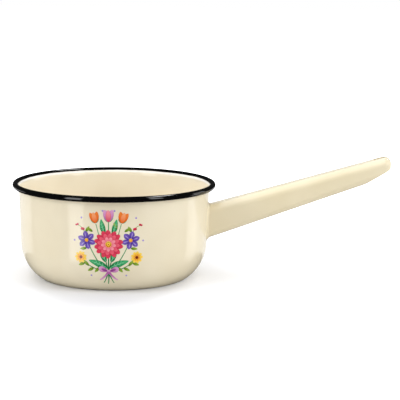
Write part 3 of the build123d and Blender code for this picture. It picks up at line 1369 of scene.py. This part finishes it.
@dataclass(frozen=True)
class Panel:
    """A soft light panel, as the glossy enamel sees it.

    Attributes:
        name: The panel's name.
        turn: Degrees round the pan's axis from the camera's side, to the right.
        spread: Degrees that it covers round the axis.
        low: Degrees above the table at which it starts.
        high: Degrees at which it ends.
        strength: How bright it is.
        fade: Degrees over which its light comes up from nothing at its lower edge.
    """

    name: str
    turn: float
    spread: float
    low: float
    high: float
    strength: float
    fade: float


@dataclass(frozen=True)
class SoftBox:
    """A lamp behind a rectangular sheet of silk, which the camera doesn't see.

    Attributes:
        name: The lamp's name.
        place: Its place, in metres.
        size: Its width and depth, in metres.
        power: Its power, in watts.
        back: Direction that its back faces, where it isn't turned to the pan.
    """

    name: str
    place: Triple
    size: tuple[float, float]
    power: float
    back: Triple | None = None

    def hang(self) -> bpy.types.Object:
        """Hang the lamp in the set.

        Returns:
            The lamp.
        """
        data = bpy.data.lights.new(self.name, "AREA")
        data.shape = "RECTANGLE"
        data.size, data.size_y = self.size
        data.energy = self.power
        lamp = bpy.data.objects.new(self.name, data)
        lamp.location = self.place
        lamp.rotation_euler = Vector(self.back or self.place).to_track_quat("Z", "Y").to_euler()
        lamp.visible_camera = False
        bpy.context.scene.collection.objects.link(lamp)
        return lamp


@dataclass
class Studio:
    """A pale table under soft light, seen by the photograph's camera.

    Attributes:
        camera_place: Place of the camera, in millimetres.
        camera_drop: Degrees that it looks down.
        camera_roll: Degrees that it is rolled.
        lens: Its focal length, in millimetres.
        sensor: Width of its sensor, in millimetres.
        sight: How far it sees, in metres.
        ambient: Level of the light that comes from all sides.
        table_size: Half the table's width, in metres.
        table_drop: How far the table lies below the base, in millimetres, so that the two faces don't flicker.
        table_colour: sRGB colour of the table.
        table_bounce_colour: sRGB colour of the light that it throws back on the pan.
        table_glow: Level that whitens the table where the pan's shade ends.
        shadow_reach: Distances from the axis between which the shade ends, in metres.
        shadow_squeeze: Stretch of the shade's outline along each axis, as its inverse.
        shadow_shift: Shift of that outline, in metres.
        white_reach: Times the shade's reach at which the table is all white.
        painted_contact_shade_colour: sRGB colour of a shade painted on the table round the base, which only the light
            bounced back on the pan sees, so that the pan's heel is darker.
        painted_contact_shade_reach: Distances from the axis between which that painted shade ends, in metres.
        panels: The panels that the enamel mirrors.
        panel_distance: Distance of the panels, in metres.
        panel_faces: Faces across and along a panel.
        overhead_strip: Left and right edge, and near and far end of the strip overhead, in metres.
        overhead_height: Its height, in metres.
        overhead_strength: How bright it is.
        surround_radius: Distance of the black cloth, in metres.
        surround_faces: Faces round it and from pole to pole.
        surround_level: How bright the cloth is.
        opening_from: Share of its radius behind the pan at which the cloth's opening starts.
        opening_heights: Lower and upper edge of the opening, as shares of its radius.
        lamps: The lamps that light the pan without showing in it.
        glints: The lamps that show in the handle's gloss alone.
    """

    camera_place: Triple = (71.84, -1244.96, 270.33)
    camera_drop: float = 9.398
    camera_roll: float = 0.631
    lens: float = 135.41
    sensor: float = 36.0
    sight: float = 50.0
    ambient: float = 0.42
    table_size: float = 6.0
    table_drop: float = 0.05
    table_colour: str = "E8E9ED"
    table_bounce_colour: str = "E6E6E6"
    table_glow: float = 0.27
    shadow_reach: tuple[float, float] = (0.057, 0.1)
    shadow_squeeze: Triple = (1.26, 0.56, 0.0)
    shadow_shift: Triple = (0.005, 0.0, 0.0)
    white_reach: float = 4.0
    # Painted shade on the table round the base, for bounced light only.
    painted_contact_shade_colour: str = "B4B4B4"
    painted_contact_shade_reach: tuple[float, float] = (0.061, 0.071)
    panels: tuple[Panel, ...] = (
        Panel("left_panel", turn=-43, spread=18.5, low=-34, high=32, strength=3.2, fade=22),
        Panel("right_panel", turn=113, spread=21, low=-34, high=20, strength=1.7, fade=22),
        Panel("front_panel", turn=51, spread=15, low=-8, high=34, strength=3.5, fade=16),
    )
    panel_distance: float = 3.6
    panel_faces: tuple[int, int] = (10, 8)
    overhead_strip: tuple[Point, Point] = ((1.3, 1.75), (-0.3, 2.0))
    overhead_height: float = 3.4
    overhead_strength: float = 16.0
    surround_radius: float = 4.5
    surround_faces: tuple[int, int] = (96, 144)
    surround_level: float = 0.03
    opening_from: float = 0.45
    opening_heights: tuple[float, float] = (-0.27, -0.115)
    lamps: tuple[SoftBox, ...] = (
        SoftBox("left_lamp", place=(-1.6, -0.6, 0.9), size=(1.0, 1.0), power=17.0),
        SoftBox("right_lamp", place=(1.6, -0.6, 0.9), size=(1.0, 1.0), power=17.0),
        SoftBox("top_lamp", place=(0.0, 0.2, 1.6), size=(1.6, 1.6), power=13.0),
        SoftBox("front_lamp", place=(0.0, -1.8, 0.9), size=(1.0, 1.0), power=2.0),
    )
    glints: tuple[SoftBox, ...] = (
        SoftBox("handle_glint", place=(-0.5, 0.2, 1.7), size=(1.4, 3.6), power=42.0, back=(0.0, 0.0, 1.0)),
        SoftBox("handle_edge_glint", place=(0.3, 3.0, 0.9), size=(2.6, 1.5), power=8.0, back=(0.1, 1.0, 0.3)),
    )

    def add_camera(self) -> None:
        """Set up the camera."""
        data = bpy.data.cameras.new("camera")
        data.lens = self.lens
        data.sensor_width = self.sensor
        data.clip_end = self.sight
        camera = bpy.data.objects.new("camera", data)
        bpy.context.scene.collection.objects.link(camera)
        tilt = Matrix.Rotation(math.radians(90 - self.camera_drop), 4, "X")
        roll = Matrix.Rotation(math.radians(self.camera_roll), 4, "Z")
        camera.matrix_world = Matrix.Translation(Vector(self.camera_place) * MM) @ tilt @ roll
        bpy.context.scene.camera = camera

    def add_world(self) -> None:
        """White behind the pan for the camera and its reflections, and a softer level for the light."""
        world = bpy.data.worlds.new("studio")
        bpy.context.scene.world = world
        world.use_nodes = True
        tree = world.node_tree
        tree.nodes.clear()
        path = add_node(tree, "ShaderNodeLightPath").outputs
        shown = path["Is Camera Ray"]
        for ray in ("Is Glossy Ray", "Is Transmission Ray"):
            shown = add_node(tree, "ShaderNodeMath", {0: shown, 1: path[ray]}, operation="MAXIMUM").outputs["Value"]
        strength = add_node(tree, "ShaderNodeMapRange", {"Value": shown, "To Min": self.ambient, "To Max": 1.0})
        back = add_node(tree, "ShaderNodeBackground", {
            "Color": linear("FFFFFF"), "Strength": strength.outputs["Result"]})
        add_node(tree, "ShaderNodeOutputWorld", {"Surface": back.outputs["Background"]})

    def table_paper(self) -> bpy.types.Material:
        """Matt white paper that keeps the pan's soft shadow and whitens beyond it.

        Returns:
            The material.
        """
        material, tree = blank_material("white_table")
        path = add_node(tree, "ShaderNodeLightPath").outputs
        place = add_node(tree, "ShaderNodeTexCoord").outputs["Object"]
        gap = add_node(tree, "ShaderNodeVectorMath", {0: place}, operation="LENGTH")
        # Painted shade: for bounced light the table turns darker near the base, which darkens the pan's heel.
        clear = add_node(tree, "ShaderNodeMapRange", {
            "Value": gap.outputs["Value"], "From Min": self.painted_contact_shade_reach[0], "From Max": self.painted_contact_shade_reach[1]},
            interpolation_type="SMOOTHSTEP")
        bounce_with_painted_shade = add_node(tree, "ShaderNodeMix", {
            "Factor": clear.outputs["Result"], "A": linear(self.painted_contact_shade_colour),
            "B": linear(self.table_bounce_colour)}, data_type="RGBA")
        colour = add_node(tree, "ShaderNodeMix", {
            "Factor": path["Is Camera Ray"], "A": bounce_with_painted_shade.outputs["Result"], "B": linear(self.table_colour)},
            data_type="RGBA")
        paper = add_node(tree, "ShaderNodeBsdfDiffuse", {"Color": colour.outputs["Result"]})
        squeezed = add_node(tree, "ShaderNodeVectorMath", {
            0: place, 1: self.shadow_squeeze, 2: self.shadow_shift}, operation="MULTIPLY_ADD")
        away = add_node(tree, "ShaderNodeVectorMath", {0: squeezed.outputs["Vector"]}, operation="LENGTH")
        near, far = self.shadow_reach
        lifted, distant = (
            add_node(tree, "ShaderNodeMapRange", {
                "Value": away.outputs["Value"], "From Min": start, "From Max": end, "To Max": level},
                interpolation_type="SMOOTHSTEP").outputs["Result"]
            for start, end, level in ((near, far, self.table_glow), (far, far * self.white_reach, 1.0)))
        total = add_node(tree, "ShaderNodeMath", {0: lifted, 1: distant}, operation="ADD")
        shown = add_node(tree, "ShaderNodeMath", {0: total.outputs["Value"], 1: path["Is Camera Ray"]},
                         operation="MULTIPLY")
        glow = add_node(tree, "ShaderNodeEmission", {"Strength": shown.outputs["Value"]})
        both = add_node(tree, "ShaderNodeAddShader", {0: paper.outputs["BSDF"], 1: glow.outputs["Emission"]})
        add_node(tree, "ShaderNodeOutputMaterial", {"Surface": both.outputs["Shader"]})
        return material

    def add_table(self) -> None:
        """Lay the table, which runs out into the white background."""
        bm = bmesh.new()
        bmesh.ops.create_grid(bm, x_segments=8, y_segments=8, size=self.table_size)
        table = new_object("table", bm, [self.table_paper()])
        table.location.z = -self.table_drop * MM
        table.visible_glossy = False

    def glow(self, name: str, strength: float, fade: Point | None) -> bpy.types.Material:
        """A plain glowing surface that lights nothing by itself and is only seen in reflections.

        Args:
            name: The material's name.
            strength: How bright it is.
            fade: Heights between which its light comes up from nothing, where it does.

        Returns:
            The material.
        """
        material, tree = blank_material(name)
        if fade:
            place = add_node(tree, "ShaderNodeTexCoord").outputs["Object"]
            parts = add_node(tree, "ShaderNodeSeparateXYZ", {"Vector": place})
            strength = add_node(tree, "ShaderNodeMapRange", {
                "Value": parts.outputs["Z"], "From Min": fade[0], "From Max": fade[1], "To Max": strength},
                interpolation_type="SMOOTHSTEP").outputs["Result"]
        light = add_node(tree, "ShaderNodeEmission", {"Strength": strength})
        add_node(tree, "ShaderNodeOutputMaterial", {"Surface": light.outputs["Emission"]})
        material.cycles.emission_sampling = "NONE"
        return material

    def add_reflected(self, name: str, bm: bmesh.types.BMesh, strength: float, fade: Point | None = None) -> None:
        """Add a surface that only the gloss of the enamel sees.

        Args:
            name: Its name.
            bm: Its mesh, in metres, which is freed.
            strength: How bright it is.
            fade: Heights between which its light comes up from nothing, where it does.
        """
        surface = new_object(name, bm, [self.glow(name, strength, fade)])
        surface.visible_camera = False
        surface.visible_diffuse = False
        surface.visible_transmission = False
        surface.visible_shadow = False

    def add_panels(self) -> None:
        """Hang the panels round the pan, as patches of a sphere."""
        across, along = self.panel_faces
        for panel in self.panels:
            bm = bmesh.new()
            bmesh.ops.create_grid(bm, x_segments=across, y_segments=along, size=1.0)
            for vert in bm.verts:
                turn = math.radians(panel.turn + panel.spread / 2 * vert.co.x)
                lift = math.radians(panel.low + (panel.high - panel.low) * (vert.co.y + 1) / 2)
                level = math.cos(lift)
                vert.co = Vector((math.sin(turn) * level, -math.cos(turn) * level, math.sin(lift)))
                vert.co *= self.panel_distance
            low, full = (self.panel_distance * math.sin(math.radians(lift))
                         for lift in (panel.low, panel.low + panel.fade))
            self.add_reflected(panel.name, bm, panel.strength, (low, full))

    def add_overhead(self) -> None:
        """Hang a long flat light box over the set, to the right of the pan's axis and running back from it."""
        bm = bmesh.new()
        bmesh.ops.create_grid(bm, x_segments=2, y_segments=4, size=1.0)
        (left, right), (near, far) = self.overhead_strip
        for vert in bm.verts:
            vert.co = Vector((left + (right - left) * (vert.co.x + 1) / 2, near + (far - near) * (vert.co.y + 1) / 2,
                              self.overhead_height))
        self.add_reflected("overhead_strip", bm, self.overhead_strength)

    def add_surround(self) -> None:
        """Hang black cloth round and over the set, open behind the pan towards the white background."""
        bm = bmesh.new()
        around, upright = self.surround_faces
        bmesh.ops.create_uvsphere(bm, u_segments=around, v_segments=upright, radius=self.surround_radius)
        opening = [face for face in bm.faces if self.faces_background(face.calc_center_median().normalized())]
        bmesh.ops.delete(bm, geom=opening, context="FACES")
        self.add_reflected("black_cloth", bm, self.surround_level)

    def faces_background(self, direction: Vector) -> bool:
        """Whether a direction from the pan looks past the cloth at the white background."""
        low, high = self.opening_heights
        return direction.y > self.opening_from and low < direction.z < high

    def add_lamps(self) -> None:
        """Hang the soft lamps that shape the enamel, without showing in it."""
        for box in self.lamps:
            box.hang().visible_glossy = False

    def add_glints(self, piece: bpy.types.Object) -> None:
        """Hang the lamps over and behind the handle that show in its gloss alone and light nothing else.

        Args:
            piece: The piece that mirrors them.
        """
        mirrors = bpy.data.collections.new("mirrors_the_glints")
        mirrors.objects.link(piece)
        for box in self.glints:
            lamp = box.hang()
            lamp.visible_diffuse = False
            lamp.light_linking.receiver_collection = mirrors

    def build(self) -> None:
        """Set up the whole studio."""
        self.add_camera()
        self.add_world()
        self.add_table()
        self.add_panels()
        self.add_overhead()
        self.add_surround()
        self.add_lamps()
        bpy.context.scene.view_settings.view_transform = "Standard"


def main() -> None:
    """Build the studio and every piece of the pan."""
    logging.basicConfig(level=logging.INFO, format="%(name)s %(message)s")
    studio = Studio()
    studio.build()
    shape = PanShape()
    grip = HANDLE_ENAMEL.build()
    Vessel(shape).build(CREAM_ENAMEL.build(), INSIDE_ENAMEL_PAINTED_PALER.build())
    BlackRim(shape).build(BLACK_ENAMEL.build())
    handle = Handle(shape)
    studio.add_glints(handle.build(grip, THIN_ENAMEL.build()))
    welds = Welds(handle)
    welds.build_root(grip)
    welds.build_seam(grip)
    PrintedSpray(shape).build()


if __name__ == "__main__":
    main()
